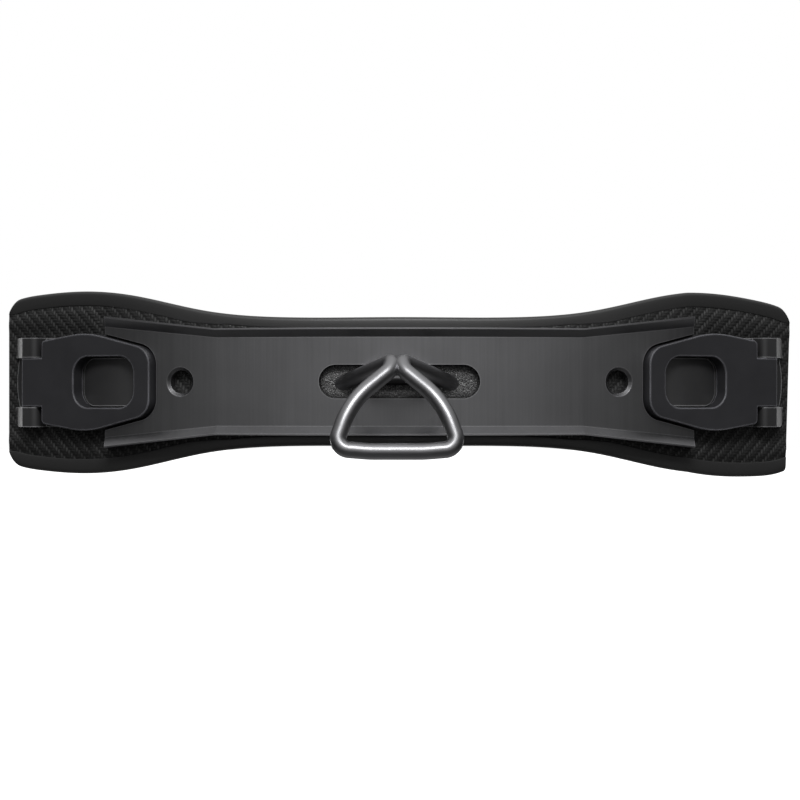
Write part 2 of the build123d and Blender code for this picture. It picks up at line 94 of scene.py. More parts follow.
def spline_bends(xs, zs, first_slope, last_slope):
    """Second derivatives of the cubic through the points with those end slopes."""
    count = len(xs)
    steps = np.diff(xs)
    slopes = np.diff(zs) / steps
    matrix = np.zeros((count, count))
    right = np.zeros(count)
    matrix[0, :2] = 2 * steps[0], steps[0]
    right[0] = 6 * (slopes[0] - first_slope)
    matrix[-1, -2:] = steps[-1], 2 * steps[-1]
    right[-1] = 6 * (last_slope - slopes[-1])
    for i in range(1, count - 1):
        matrix[i, i - 1 : i + 2] = steps[i - 1], 2 * (steps[i - 1] + steps[i]), steps[i]
        right[i] = 6 * (slopes[i] - slopes[i - 1])
    return np.linalg.solve(matrix, right)


EDGE_X = np.array(PAD_EDGE_X)
EDGE_Z = np.array(PAD_EDGE_Z)
EDGE_BENDS = spline_bends(EDGE_X, EDGE_Z, 0.0, PAD_END_SLOPE)


def pad_edge(x):
    """Half the pad's height at x, before its corners are rounded."""
    x = np.clip(np.abs(np.asarray(x, float)), 0.0, PAD_HALF_LENGTH)
    i = np.clip(np.searchsorted(EDGE_X, x) - 1, 0, len(EDGE_X) - 2)
    step = EDGE_X[i + 1] - EDGE_X[i]
    a = (EDGE_X[i + 1] - x) / step
    b = 1 - a
    bend = ((a**3 - a) * EDGE_BENDS[i] + (b**3 - b) * EDGE_BENDS[i + 1]) * step**2 / 6
    return a * EDGE_Z[i] + b * EDGE_Z[i + 1] + bend


def corner_radius(x, side):
    """The pad's corner radius at that end, above (side 1) or below (side -1)."""
    return SHARP_CORNER if x > 0 and side < 0 else PAD_CORNER


def pad_half_height(x, side):
    """Half the pad's height at x, above or below, with its rounded corners."""
    radius = corner_radius(x, side)
    into_corner = min(max(abs(x) - (PAD_HALF_LENGTH - radius), 0.0), radius)
    return float(pad_edge(x)) - radius + math.sqrt(radius**2 - into_corner**2)


def hung(x, z):
    """Where a point of a level pad lies, with the right-hand end hanging a little."""
    past = max(0.0, x - DROOP_START)
    share_out = past / (PAD_HALF_LENGTH - DROOP_START)
    share_down = (PAD_EDGE_Z[-1] - z) / (2 * PAD_EDGE_Z[-1])
    return x - END_SLANT * share_out * share_down, z - past * DROOP_SLOPE


def place(x, n, z, behind=0.0):
    """The point at height n over the face for a level pad's x and z, moved where the hanging end has it."""
    x, z = hung(x, z)
    return x, float(depth(x, n)) + behind, z


# ---- building pieces ----
def make_piece(name, verts, faces, material, uvs, replaces):
    """A smooth mesh object from points and faces, riding on the root body, with cloth coordinates."""
    mesh = bpy.data.meshes.new(name)
    mesh.from_pydata([tuple(v) for v in verts], [], [tuple(f) for f in faces])
    mesh.validate()
    layer = mesh.uv_layers.new(name="cloth")
    for loop in mesh.loops:
        layer.data[loop.index].uv = uvs[loop.vertex_index]
    cleaner = bmesh.new()
    cleaner.from_mesh(mesh)
    bmesh.ops.recalc_face_normals(cleaner, faces=cleaner.faces)
    cleaner.to_mesh(mesh)
    cleaner.free()
    mesh.shade_smooth()
    mesh.materials.append(material)
    piece = bpy.data.objects.new(name, mesh)
    bpy.context.scene.collection.objects.link(piece)
    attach(piece, ROOT)
    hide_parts(*replaces)
    return piece


def skin_rings(rings, closed_ends=True):
    """Faces that join closed rings of equal length, one after another, with capped ends."""
    count = len(rings[0])
    verts = [p for ring in rings for p in ring]
    faces = []
    for r in range(len(rings) - 1):
        for i in range(count):
            j = (i + 1) % count
            faces.append((r * count + i, r * count + j, (r + 1) * count + j, (r + 1) * count + i))
    if closed_ends:
        faces.append(tuple(range(count)))
        last = (len(rings) - 1) * count
        faces.append(tuple(last + i for i in reversed(range(count))))
    return verts, faces


# ---- materials ----
# 1 - cosine of the angle between the rounded and the flat normal
HIGHLIGHT_FROM = 0.004  # where the painted edge highlight starts
HIGHLIGHT_FULL = 0.03  # and where it is full


class Tree:
    """A small helper round a node tree."""

    def __init__(self, tree):
        self.tree = tree

    def add(self, kind, **settings):
        node = self.tree.nodes.new(kind)
        for key, value in settings.items():
            setattr(node, key, value)
        return node

    def link(self, source, target):
        self.tree.links.new(source, target)

    def feed(self, socket, value):
        if isinstance(value, bpy.types.NodeSocket):
            self.link(value, socket)
        else:
            socket.default_value = value

    def math(self, operation, a, b=0.0, c=0.0, clamp=False):
        node = self.add("ShaderNodeMath", operation=operation, use_clamp=clamp)
        for socket, value in zip(node.inputs, (a, b, c)):
            self.feed(socket, value)
        return node.outputs[0]

    def span(self, value, low, high, out_low, out_high):
        """Maps low..high onto out_low..out_high and stays within them."""
        node = self.add("ShaderNodeMapRange")
        self.feed(node.inputs["Value"], value)
        node.inputs["From Min"].default_value = low
        node.inputs["From Max"].default_value = high
        node.inputs["To Min"].default_value = out_low
        node.inputs["To Max"].default_value = out_high
        return node.outputs[0]


class Nodes(Tree):
    """The nodes of one new material."""

    def __init__(self, name):
        self.material = bpy.data.materials.new(name)
        self.material.use_nodes = True
        super().__init__(self.material.node_tree)
        self.bsdf = self.tree.nodes["Principled BSDF"]

    def position(self, stretch=(1, 1, 1)):
        """The point on the part, in metres, stretched along each axis."""
        coords = self.add("ShaderNodeTexCoord")
        mapping = self.add("ShaderNodeMapping")
        mapping.inputs["Scale"].default_value = stretch
        self.link(coords.outputs["Object"], mapping.inputs["Vector"])
        return mapping.outputs[0]

    def noise(self, per_metre, detail, roughness=0.55, vector=None):
        node = self.add("ShaderNodeTexNoise")
        self.link(self.position() if vector is None else vector, node.inputs["Vector"])
        node.inputs["Scale"].default_value = per_metre
        node.inputs["Detail"].default_value = detail
        node.inputs["Roughness"].default_value = roughness
        return node.outputs["Fac"]

    def edge(self, radius):
        """1 along sharp edges, 0 on flat ground: the mask for a painted edge highlight."""
        bevel = self.add("ShaderNodeBevel", samples=6)
        bevel.inputs["Radius"].default_value = radius
        flat = self.add("ShaderNodeNewGeometry")
        dot = self.add("ShaderNodeVectorMath", operation="DOT_PRODUCT")
        self.link(bevel.outputs[0], dot.inputs[0])
        self.link(flat.outputs["Normal"], dot.inputs[1])
        turn = self.math("SUBTRACT", 1.0, dot.outputs["Value"])
        return self.span(turn, HIGHLIGHT_FROM, HIGHLIGHT_FULL, 0, 1)

    def mix(self, factor, a, b):
        node = self.add("ShaderNodeMix", data_type="RGBA")
        self.feed(node.inputs["Factor"], factor)
        self.feed(node.inputs[6], a)
        self.feed(node.inputs[7], b)
        return node.outputs[2]

    def bump(self, height, distance, strength):
        node = self.add("ShaderNodeBump")
        node.inputs["Distance"].default_value = distance
        node.inputs["Strength"].default_value = strength
        self.link(height, node.inputs["Height"])
        return node.outputs[0]

    def surface(self, color, roughness, normal=None, **constants):
        self.feed(self.bsdf.inputs["Base Color"], color)
        self.feed(self.bsdf.inputs["Roughness"], roughness)
        if normal is not None:
            self.link(normal, self.bsdf.inputs["Normal"])
        for key, value in constants.items():
            self.bsdf.inputs[key.replace("_", " ")].default_value = value
        return self.material


def grey(level, tint=(1.0, 1.0, 1.0)):
    return (level * tint[0], level * tint[1], level * tint[2], 1.0)


COOL = (0.99, 0.99, 1.02)
BLUISH = (0.97, 0.97, 1.07)


def anodised(name, dark, light, roughness):
    """Satin anodised metal: fine blasted grain, faint upright streaks and cloudy handling marks."""
    n = Nodes(name)
    clouds = n.noise(per_metre=26.0, detail=3.0)
    streaks = n.noise(per_metre=1.0, detail=2.0, vector=n.position((900, 900, 14)))
    tone = n.math("ADD", n.math("MULTIPLY", clouds, 0.55), n.math("MULTIPLY", streaks, 0.45))
    color = n.mix(n.span(tone, 0.3, 0.7, 0, 1), grey(dark, COOL), grey(light, COOL))
    rough = n.span(tone, 0.3, 0.7, roughness - 0.03, roughness + 0.05)
    grain = n.noise(per_metre=5200.0, detail=2.0)
    # painted highlight: the metal's colour is paled along its sharp edges
    color = n.mix(n.math("MULTIPLY", n.edge(0.0007), 0.7), color, grey(light * 2.2, COOL))
    return n.surface(color, rough, n.bump(grain, distance=0.00003, strength=0.5), Metallic=1.0)


def steel(name, level, roughness, grain_bump=0.00002):
    """Bare steel with a soft directional polish."""
    n = Nodes(name)
    scratches = n.noise(per_metre=1.0, detail=3.0, vector=n.position((260, 260, 2600)))
    smears = n.noise(per_metre=60.0, detail=3.0)
    color = n.mix(smears, grey(level * 0.88, COOL), grey(level * 1.08, COOL))
    rough = n.span(scratches, 0.25, 0.75, roughness - 0.05, roughness + 0.07)
    return n.surface(color, rough, n.bump(scratches, distance=grain_bump, strength=0.4), Metallic=1.0)


SLOT_STRAIGHT = 32.0 * MM  # half length of the slot's straight sides
SLOT_RADIUS = 8.5 * MM


def blasted(name):
    """Coarse blasted floor of the slot: sparkling grains on near-black metal."""
    n = Nodes(name)
    grains = n.add("ShaderNodeTexVoronoi")
    n.link(n.position(), grains.inputs["Vector"])
    grains.inputs["Scale"].default_value = 1500.0
    lumps = n.noise(per_metre=2600.0, detail=3.0, roughness=0.7)
    sparkle = n.math("POWER", n.span(lumps, 0.42, 0.72, 0, 1), 1.6, clamp=True)
    color = n.mix(sparkle, grey(0.06), grey(0.85))
    height = n.math("ADD", grains.outputs["Distance"], n.math("MULTIPLY", lumps, 1.3))
    # painted shade: the floor is darker beside the slot's rim, as the rim shades it
    place_on_part = n.add("ShaderNodeSeparateXYZ")
    n.link(n.position(), place_on_part.inputs[0])
    sideways = n.math("ABSOLUTE", place_on_part.outputs[0])
    past_straight = n.math("MAXIMUM", n.math("SUBTRACT", sideways, SLOT_STRAIGHT), 0.0)
    upwards = place_on_part.outputs[2]
    sideways_squared = n.math("MULTIPLY", past_straight, past_straight)
    off_middle = n.math("SQRT", n.math("MULTIPLY_ADD", upwards, upwards, sideways_squared))
    lit = n.span(off_middle, SLOT_RADIUS - 3.5 * MM, SLOT_RADIUS - 0.5 * MM, 1.0, 0.25)
    color = n.mix(lit, grey(0.02), color)
    rough = n.span(lumps, 0.3, 0.7, 0.6, 0.38)
    relief = n.bump(height, distance=0.00028, strength=0.9)
    return n.surface(color, rough, relief, Metallic=0.8)


EDGE_SHINE = 0.42  # how pale the painted highlight on a dark coating's edges gets


def coated(name, level, roughness, tint=COOL):
    """Smooth dark coating with a trace of orange peel and dust."""
    n = Nodes(name)
    peel = n.noise(per_metre=900.0, detail=2.0)
    dust = n.noise(per_metre=34.0, detail=5.0, roughness=0.65)
    color = n.mix(n.span(dust, 0.35, 0.75, 0, 1), grey(level * 0.92, tint), grey(level * 1.15, tint))
    # painted highlight: the coating's colour is paled, patchily, along its sharp edges
    edge_highlight = n.math("MULTIPLY", n.edge(0.0009), n.span(dust, 0.3, 0.7, 0.45, 1.0))
    color = n.mix(edge_highlight, color, grey(EDGE_SHINE, tint))
    rough = n.span(dust, 0.3, 0.7, roughness - 0.04, roughness + 0.05)
    relief = n.bump(peel, distance=0.00002, strength=0.35)
    return n.surface(color, rough, relief, Coat_Weight=0.12, Coat_Roughness=0.35)


def rubber(name, level, roughness, shine):
    """Moulded edge: fine matt grain with slight shine on high spots."""
    n = Nodes(name)
    grain = n.noise(per_metre=2400.0, detail=3.0, roughness=0.6)
    clouds = n.noise(per_metre=22.0, detail=3.0)
    color = n.mix(clouds, grey(level * 0.9), grey(level * 1.1))
    rough = n.span(grain, 0.3, 0.7, roughness - 0.05, roughness + 0.08)
    return n.surface(color, rough, n.bump(grain, distance=0.00006, strength=0.6), Specular_IOR_Level=shine)


TOW = 1.6 * MM  # width of one tow of the twill
FLOAT_TOWS = 2.0  # each tow passes over two and under two


def twill(name, low, high):
    """Coated two-by-two twill drawn from the cloth's own coordinates, its diagonals running outwards."""
    n = Nodes(name)
    uv = n.add("ShaderNodeUVMap", uv_map="cloth")
    split = n.add("ShaderNodeSeparateXYZ")
    n.link(uv.outputs[0], split.inputs[0])
    wander = n.math("MULTIPLY", n.math("SUBTRACT", n.noise(per_metre=110.0, detail=3.0), 0.5), 0.9)
    u = n.math("ADD", n.math("DIVIDE", n.math("ABSOLUTE", split.outputs[0]), TOW), wander)
    v = n.math("ADD", n.math("DIVIDE", split.outputs[1], TOW), wander)
    column = n.math("FLOOR", u)
    row = n.math("FLOOR", v)
    repeat = 2 * FLOAT_TOWS
    phase = n.math("FLOORED_MODULO", n.math("SUBTRACT", column, row), repeat)
    upright_on_top = n.math("LESS_THAN", phase, FLOAT_TOWS)
    across_u = n.math("SUBTRACT", n.math("FRACT", u), 0.5)
    across_v = n.math("SUBTRACT", n.math("FRACT", v), 0.5)

    def crown(across):
        """Round back of a tow: 1 on its middle line, 0 at its edges."""
        squared = n.math("MULTIPLY", across, across)
        return n.math("SUBTRACT", 1.0, n.math("MULTIPLY", squared, 4.0), clamp=True)

    def float_rise(along_u, offset):
        """A float is highest half way between the two places where it dives under."""
        way = n.math("FLOORED_MODULO", n.math("ADD", along_u, offset), repeat)
        half_turn = n.math("MULTIPLY", way, math.pi / FLOAT_TOWS)
        return n.math("ABSOLUTE", n.math("SINE", half_turn))

    upright = n.math("MULTIPLY", crown(across_u), float_rise(n.math("SUBTRACT", column, v), 1.0))
    level_ways = n.math("MULTIPLY", crown(across_v), float_rise(n.math("SUBTRACT", u, row), 0.0))
    fibres_up = n.noise(per_metre=1.0, detail=2.0, vector=n.position((9000, 9000, 300)))
    fibres_level = n.noise(per_metre=1.0, detail=2.0, vector=n.position((300, 300, 9000)))

    def choose(a, b):
        node = n.add("ShaderNodeMix", data_type="FLOAT")
        n.link(upright_on_top, node.inputs["Factor"])
        n.feed(node.inputs[2], b)
        n.feed(node.inputs[3], a)
        return node.outputs[0]

    height = choose(upright, level_ways)
    fibres = choose(fibres_up, fibres_level)
    # painted sheen: upright tows far lighter than level ones, and each tow lighter on its crown than at its
    # edges
    sheen_side = choose(1.0, 0.12)
    fibre_shade = n.span(fibres, 0.25, 0.75, 0.55, 1.25)
    patches = n.span(n.noise(per_metre=60.0, detail=4.0), 0.35, 0.65, 0.55, 1.15)
    painted_yarn_sheen = n.math("MULTIPLY", height, sheen_side)
    shade = n.math("MULTIPLY", painted_yarn_sheen, n.math("MULTIPLY", fibre_shade, patches))
    color = n.mix(shade, grey(low), grey(high))
    relief = n.math("ADD", height, n.math("MULTIPLY", fibres, 0.18))
    rough = n.span(height, 0.0, 1.0, 0.62, 0.40)
    return n.surface(color, rough, n.bump(relief, distance=0.00024, strength=1.0), Specular_IOR_Level=0.45)


def knit(name, level):
    """Brushed knitted lining: rows of small loops and a soft nap."""
    n = Nodes(name)
    uv = n.add("ShaderNodeUVMap", uv_map="cloth")
    split = n.add("ShaderNodeSeparateXYZ")
    n.link(uv.outputs[0], split.inputs[0])
    pitch = 1.3 * MM
    across = n.math("SINE", n.math("MULTIPLY", split.outputs[0], 2 * math.pi / pitch))
    slant = n.math("MULTIPLY", n.math("ABSOLUTE", across), 1.4)
    rows = n.math("SINE", n.math("ADD", n.math("MULTIPLY", split.outputs[1], 2 * math.pi / pitch), slant))
    loops = n.span(rows, -1, 1, 0, 1)
    nap = n.noise(per_metre=1600.0, detail=4.0, roughness=0.7)
    shade = n.math("MULTIPLY", n.math("ADD", loops, nap), 0.5)
    height = n.math("ADD", loops, n.math("MULTIPLY", nap, 0.8))
    color = n.mix(shade, grey(level * 0.5), grey(level * 1.6))
    relief = n.bump(height, distance=0.00025, strength=0.8)
    return n.surface(color, 0.9, relief, Sheen_Weight=0.25, Sheen_Roughness=0.5, Specular_IOR_Level=0.2)


BAR = anodised("bar_anodised", 0.235, 0.275, 0.36)
HOOK = steel("hook_steel", 0.36, 0.37, 0.000002)
SHADED_STEEL = steel("bridge_steel", 0.06, 0.45)
PLATE = blasted("hook_plate_blasted")
SCREW = steel("screw_steel", 0.42, 0.33)
BUCKLE = coated("buckle_coating", 0.044, 0.38)
LEVER = coated("lever_coating", 0.040, 0.42, BLUISH)
BUSH = rubber("bush_acetal", 0.03, 0.5, 0.4)
SPRING = steel("spring_steel", 0.40, 0.30)
TWILL = twill("pad_twill", 0.015, 0.090)
TRIM = rubber("pad_trim_rubber", 0.024, 0.46, 1.0)
LINING = knit("pad_lining_knit", 0.030)
SHELL = coated("pad_shell_plastic", 0.03, 0.5)

# ---- CAD nodes whose shape is right keep it and get their finish ----
NODE_FINISH = {
    "bar_shell": BAR,
    "hook_rod": HOOK,
    "hook_plate": PLATE,
    "hook_bridge": SHADED_STEEL,
    "hook_plate_screws": SCREW,
    "pad_screws": SCREW,
    "pad_stiffener": SHELL,
}
for side in SIDES:
    NODE_FINISH[f"{side}_buckle_frame"] = BUCKLE
    NODE_FINISH[f"{side}_lever"] = LEVER
    NODE_FINISH[f"{side}_lever_pin"] = SCREW
    NODE_FINISH[f"{side}_lever_bush"] = BUSH
    NODE_FINISH[f"{side}_detent_spring"] = SPRING
    NODE_FINISH[f"{side}_frame_rivets"] = SCREW
for node, material in NODE_FINISH.items():
    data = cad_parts[node].data
    data.materials.clear()
    data.materials.append(material)

# ---- pad: twill facing ----
BAR_HALF_LENGTH = 0.1525
BAR_END_MARGIN = 2.0 * MM  # the cloth stays flat this far past the bar's ends
BAR_FLARE_START = 0.0925
BAR_HALF_HEIGHT = 26.9 * MM
BAR_END_HALF_HEIGHT = 34.0 * MM
FRAME_INNER, FRAME_OUTER = -33.0 * MM, 55.3 * MM  # along the wing from its start
FRAME_HALF_HEIGHT = 24.5 * MM  # 1 mm more than the frame's
FACING_COLUMNS, FACING_ROWS = 300, 72
CLOTH_THICK = 0.9 * MM
PUFF = 1.3 * MM  # how far the facing swells between the metal and the edge band
PUFF_FROM_METAL = 7 * MM  # the swelling is complete this far from the metal
PUFF_FROM_BAND = 4 * MM  # and this far from an edge band's lip
PUFF_FROM_END = 1.5 * MM  # and it is gone this far round the pad's end
END_ROUND = 0.8 * MM
END_DROPS = (1.0 * MM, 3.0 * MM, 5.0 * MM, 7.0 * MM, 9.2 * MM)  # stations down the pad's end
END_THICK = 1.0 * MM  # thickness of the cloth where it lies over the pad's end
BACK_SHARE = 0.995  # height of the cloth's back as a share of its front's
CORNER_REACH = 0.4 * MM  # the cloth follows the rounded corners up to this far from the pad's end
CORNER_INSET = 0.3 * MM  # and stays this far inside them


def clear_of_metal(x, z):
    """Distance in the facing from the nearest edge of the bar or a buckle frame, below 0 under them."""
    ax, az = np.abs(x), np.abs(z)
    flare = np.clip((ax - BAR_FLARE_START) / (BAR_HALF_LENGTH - BAR_FLARE_START), 0, 1)
    bar_top = BAR_HALF_HEIGHT + flare * (BAR_END_HALF_HEIGHT - BAR_HALF_HEIGHT)
    from_bar = np.maximum(az - bar_top, ax - BAR_HALF_LENGTH - BAR_END_MARGIN)
    s = (ax - BODY_RADIUS * math.sin(WING_TILT)) / math.cos(WING_TILT)
    from_frame = np.maximum(az - FRAME_HALF_HEIGHT, np.maximum(FRAME_INNER - s, s - FRAME_OUTER))
    return np.minimum(from_bar, from_frame)


def facing_piece():
    """The twill panel: flat under the metal, swelling a little round it, wrapped over both ends."""
    rows = FACING_ROWS
    flat_end = PAD_HALF_LENGTH - END_ROUND
    flat = [(x, 0.0) for x in np.linspace(-flat_end, flat_end, FACING_COLUMNS)]
    turns = [math.radians(degrees) for degrees in range(18, 91, 18)]
    over_end = [(flat_end + END_ROUND * math.sin(a), END_ROUND * (1 - math.cos(a))) for a in turns]
    outer = over_end + [(PAD_HALF_LENGTH, END_ROUND + drop) for drop in END_DROPS]
    # x and distance behind the front surface, from one end round the front to the other
    path = [(-x, behind) for x, behind in reversed(outer)] + flat + outer
    shares = np.linspace(0, 1, rows)
    front, back, uvs = [], [], []
    for x, behind in path:
        half = float(pad_edge(x)) - TRIM_WIDTH
        at = math.copysign(min(abs(x), PAD_HALF_LENGTH - CORNER_REACH), x)
        top = min(half, pad_half_height(at, 1) - CORNER_INSET)
        bottom = -min(half, pad_half_height(at, -1) - CORNER_INSET)
        z = bottom + shares * (top - bottom)
        from_edge = np.minimum(top - z, z - bottom)
        from_metal = clear_of_metal(np.full_like(z, x), z)
        rise = PUFF * smooth(0.0, PUFF_FROM_METAL, from_metal) * smooth(0.0, PUFF_FROM_BAND, from_edge - LAP)
        rise *= 1 - smooth(0.0, PUFF_FROM_END, behind)
        over = behind > END_ROUND * 0.9
        inset = END_THICK * np.sign(x) if over else 0.0
        thick = 0.0 if over else CLOTH_THICK
        length = float(along(x)) + math.copysign(behind, x)
        for row in range(rows):
            front.append(place(x, PAD_FRONT, z[row], behind - rise[row]))
            back.append(place(x - inset, PAD_FRONT, z[row] * BACK_SHARE, behind - rise[row] + thick))
            uvs.append((length, z[row]))
    count = len(path)
    verts = front + back
    faces = []
    shift = len(front)
    for c in range(count - 1):
        for r in range(rows - 1):
            a, b = c * rows + r, (c + 1) * rows + r
            faces.append((a, b, b + 1, a + 1))
            faces.append((a + shift, a + 1 + shift, b + 1 + shift, b + shift))
        for r in (0, rows - 1):
            a, b = c * rows + r, (c + 1) * rows + r
            faces.append((a, b, b + shift, a + shift))
    for c in (0, count - 1):
        for r in range(rows - 1):
            a = c * rows + r
            faces.append((a, a + 1, a + 1 + shift, a + shift))
    return make_piece("pad_facing_cloth", verts, faces, TWILL, uvs=uvs + uvs, replaces=("pad_facing",))


facing = facing_piece()


# ---- pad: moulded edge bands ----
BAND_LIP = 0.35 * MM  # the moulded band stands this far in front of the cloth
LIP_TUCK = 0.2 * MM  # its lip starts this far behind the cloth's front
LIP_CLEAR = 0.05 * MM  # and its rim lies this far over the cloth
LIP_DROP = 0.1 * MM  # the lip is this much lower at its two edges
LIP_SHOULDER, LIP_CREST = 0.25 * MM, 0.6 * MM  # how far in from the rim it reaches those two heights
LIP_FALL = 0.8 * MM  # and how far before the rounded outer edge it is half way down again
BAND_ROUND = 1.9 * MM  # radius of the band's outer front edge
BAND_BACK_ROUND = 2.6 * MM  # and of its outer back edge
BAND_STATIONS = 220
BAND_END = 0.4 * MM  # the least height of a band, at its ends
LIP_FADE = 2 * MM  # the lap grows over this much clear cloth


def trim_profile(half, lap):
    """The band's outline at one station as (height above the face, z); its lip laps over the cloth."""
    inner = half - TRIM_WIDTH
    rim = inner - lap
    lip = PAD_FRONT + BAND_LIP
    points = [(PAD_FRONT - LIP_TUCK, inner), (PAD_FRONT + LIP_CLEAR, rim)]
    points += [(lip - LIP_DROP, rim + LIP_SHOULDER), (lip, rim + LIP_CREST)]
    points.append((lip - LIP_DROP / 2, half - BAND_ROUND - LIP_FALL))
    turns = [math.radians(degrees) for degrees in range(0, 91, 15)]
    for a in turns:
        n = lip - LIP_DROP - BAND_ROUND * (1 - math.cos(a))
        points.append((n, half - BAND_ROUND * (1 - math.sin(a))))
    for a in turns[1:]:
        n = LINING_BACK + BAND_BACK_ROUND * (1 - math.sin(a))
        points.append((n, half - BAND_BACK_ROUND * (1 - math.cos(a))))
    points.append((LINING_BACK, inner))
    return points


def trim_piece(name, side, node):
    """One edge band, running the pad's whole length and rounding off at its ends."""
    corners = {}
    for end in (1, -1):
        radius = corner_radius(end, side)
        straight = PAD_HALF_LENGTH - radius
        turns = [math.sin(math.radians(a)) for a in (0, 12, 24, 36, 48, 60, 70, 78)]
        corners[end] = [end * (straight + radius * turn) for turn in turns]
    middle = np.linspace(corners[-1][0], corners[1][0], BAND_STATIONS)[1:-1]
    stations = corners[-1][::-1] + list(middle) + corners[1]
    rings, uvs = [], []
    for x in stations:
        outer = pad_half_height(x, side)
        full = float(pad_edge(x))
        inner = min(full - TRIM_WIDTH, outer - BAND_END)
        squeeze = (outer - inner) / TRIM_WIDTH
        lap = LAP * float(smooth(0.0, LIP_FADE, clear_of_metal(x, full - TRIM_WIDTH - LAP)))
        ring = []
        for n, z in trim_profile(full, lap):
            z = inner + (z - (full - TRIM_WIDTH)) * squeeze
            ring.append(place(x, n, side * z))
            uvs.append((float(along(x)), z))
        rings.append(ring)
    verts, faces = skin_rings(rings)
    return make_piece(name, verts, faces, TRIM, uvs=uvs, replaces=(node,))


for label, side in (("upper", 1.0), ("lower", -1.0)):
    band = trim_piece(f"pad_edge_band_{label}", side, f"pad_trim_{label}")

# ---- pad: foam and lining, swollen by a cloth simulation ----
CHANNELS = (-0.120, -0.060, 0.060, 0.120)  # upright flex channels in the lining, at these x
CHANNEL_HALF_WIDTH = 2.2 * MM
CUSHION_COLUMNS, CUSHION_ROWS, CUSHION_LAYERS = 101, 19, 3
CUSHION_END = PAD_HALF_LENGTH - 1.6 * MM
CUSHION_BACK = LINING_BACK + 1.0 * MM  # it starts smaller and swells
CUSHION_GAP = 0.2 * MM  # to the facing and the edge bands
CUSHION_CORNER_INSET = 1.0 * MM
PRESSURE = 4.0  # in the cloth solver's own unit
CLOTH_QUALITY = 6
SWELL_FRAMES = 20
SWELL_LIMIT = 2.2 * MM  # no point moves further than this
RIM_HELD = 1.5 * MM  # points this near to an edge band are held
END_HELD = 1 * MM  # and points this near to the cushion's ends
FRONT_HELD = 0.5 * MM  # and all that lie more than this in front of its back


def cushion_piece():
    """A closed box of even squares that fills the pad behind its facing."""
    rows, layers = CUSHION_ROWS, CUSHION_LAYERS
    shares = np.linspace(0, 1, rows)
    front, back = FACING_BACK - CUSHION_GAP, CUSHION_BACK
    sides = np.linspace(front, back, layers + 1)
    rings, uvs = [], []
    for x in np.linspace(-CUSHION_END, CUSHION_END, CUSHION_COLUMNS):
        inside = float(pad_edge(x)) - TRIM_WIDTH
        top = min(inside, pad_half_height(x, 1) - CUSHION_CORNER_INSET) - CUSHION_GAP
        bottom = CUSHION_GAP - min(inside, pad_half_height(x, -1) - CUSHION_CORNER_INSET)
        z_up = bottom + shares * (top - bottom)
        ring = [(front, z) for z in z_up] + [(n, z_up[-1]) for n in sides[1:-1]]
        ring += [(back, z) for z in reversed(z_up)] + [(n, z_up[0]) for n in reversed(sides[1:-1])]
        rings.append([place(x, n, z) for n, z in ring])
        uvs += [(float(along(x)), z - n) for n, z in ring]
    verts, faces = skin_rings(rings, closed_ends=False)
    around = len(rings[0])
    for c in (0, CUSHION_COLUMNS - 1):
        base = c * around
        far_corner = base + 2 * rows + layers - 2
        along_top = [base + rows + k for k in range(layers - 1)]
        along_bottom = [far_corner + 1 + k for k in range(layers - 1)]
        for r in range(rows - 1):
            low, high = base + r, far_corner - r
            upper_edge = along_top if r == rows - 2 else []
            lower_edge = along_bottom if r == 0 else []
            faces.append((low, low + 1, *upper_edge, high - 1, high, *lower_edge))
    return make_piece("pad_cushion", verts, faces, LINING, uvs=uvs, replaces=("pad_core", "pad_lining"))


def swell(piece, held, most):
    """Cloth pressure pushes the free points outwards by at most `most`."""
    rest = np.array([v.co for v in piece.data.vertices])
    group = piece.vertex_groups.new(name="held")
    group.add([int(i) for i in held], 1.0, "REPLACE")
    cloth = piece.modifiers.new("swell", "CLOTH")
    cloth.settings.vertex_group_mass = "held"
    cloth.settings.quality = CLOTH_QUALITY
    cloth.settings.use_pressure = True
    cloth.settings.uniform_pressure_force = PRESSURE
    cloth.settings.effector_weights.gravity = 0.0
    cloth.point_cache.frame_start = 1
    cloth.point_cache.frame_end = SWELL_FRAMES
    for step in range(1, SWELL_FRAMES + 1):
        bpy.context.scene.frame_set(step)
    depsgraph = bpy.context.evaluated_depsgraph_get()
    evaluated = piece.evaluated_get(depsgraph)
    moved = np.array([v.co for v in evaluated.data.vertices])
    shift = moved - rest
    size = np.linalg.norm(shift, axis=1, keepdims=True)
    shift *= np.minimum(1.0, most / np.maximum(size, 1e-9))
    piece.modifiers.remove(cloth)
    piece.vertex_groups.remove(group)
    bpy.context.scene.frame_set(1)
    for vertex, point in zip(piece.data.vertices, rest + shift):
        vertex.co = point
    piece.data.update()


cushion = cushion_piece()
points = np.array([v.co for v in cushion.data.vertices])
before_back = depth(points[:, 0], CUSHION_BACK) - points[:, 1]
at_front = before_back > FRONT_HELD
near_rim = pad_edge(points[:, 0]) - TRIM_WIDTH - np.abs(points[:, 2]) < RIM_HELD
near_end = np.abs(points[:, 0]) > CUSHION_END - END_HELD
in_channel = np.min([np.abs(points[:, 0] - c) for c in CHANNELS], axis=0) < CHANNEL_HALF_WIDTH
swell(cushion, np.nonzero(at_front | near_rim | near_end | in_channel)[0], SWELL_LIMIT)
smoother = cushion.modifiers.new("smoother", "SUBSURF")
smoother.levels = smoother.render_levels = 2


# ---- floor, light and camera ----
FLOOR_HALF_SIZE = 12.0
FLOOR_HEIGHT = -0.35


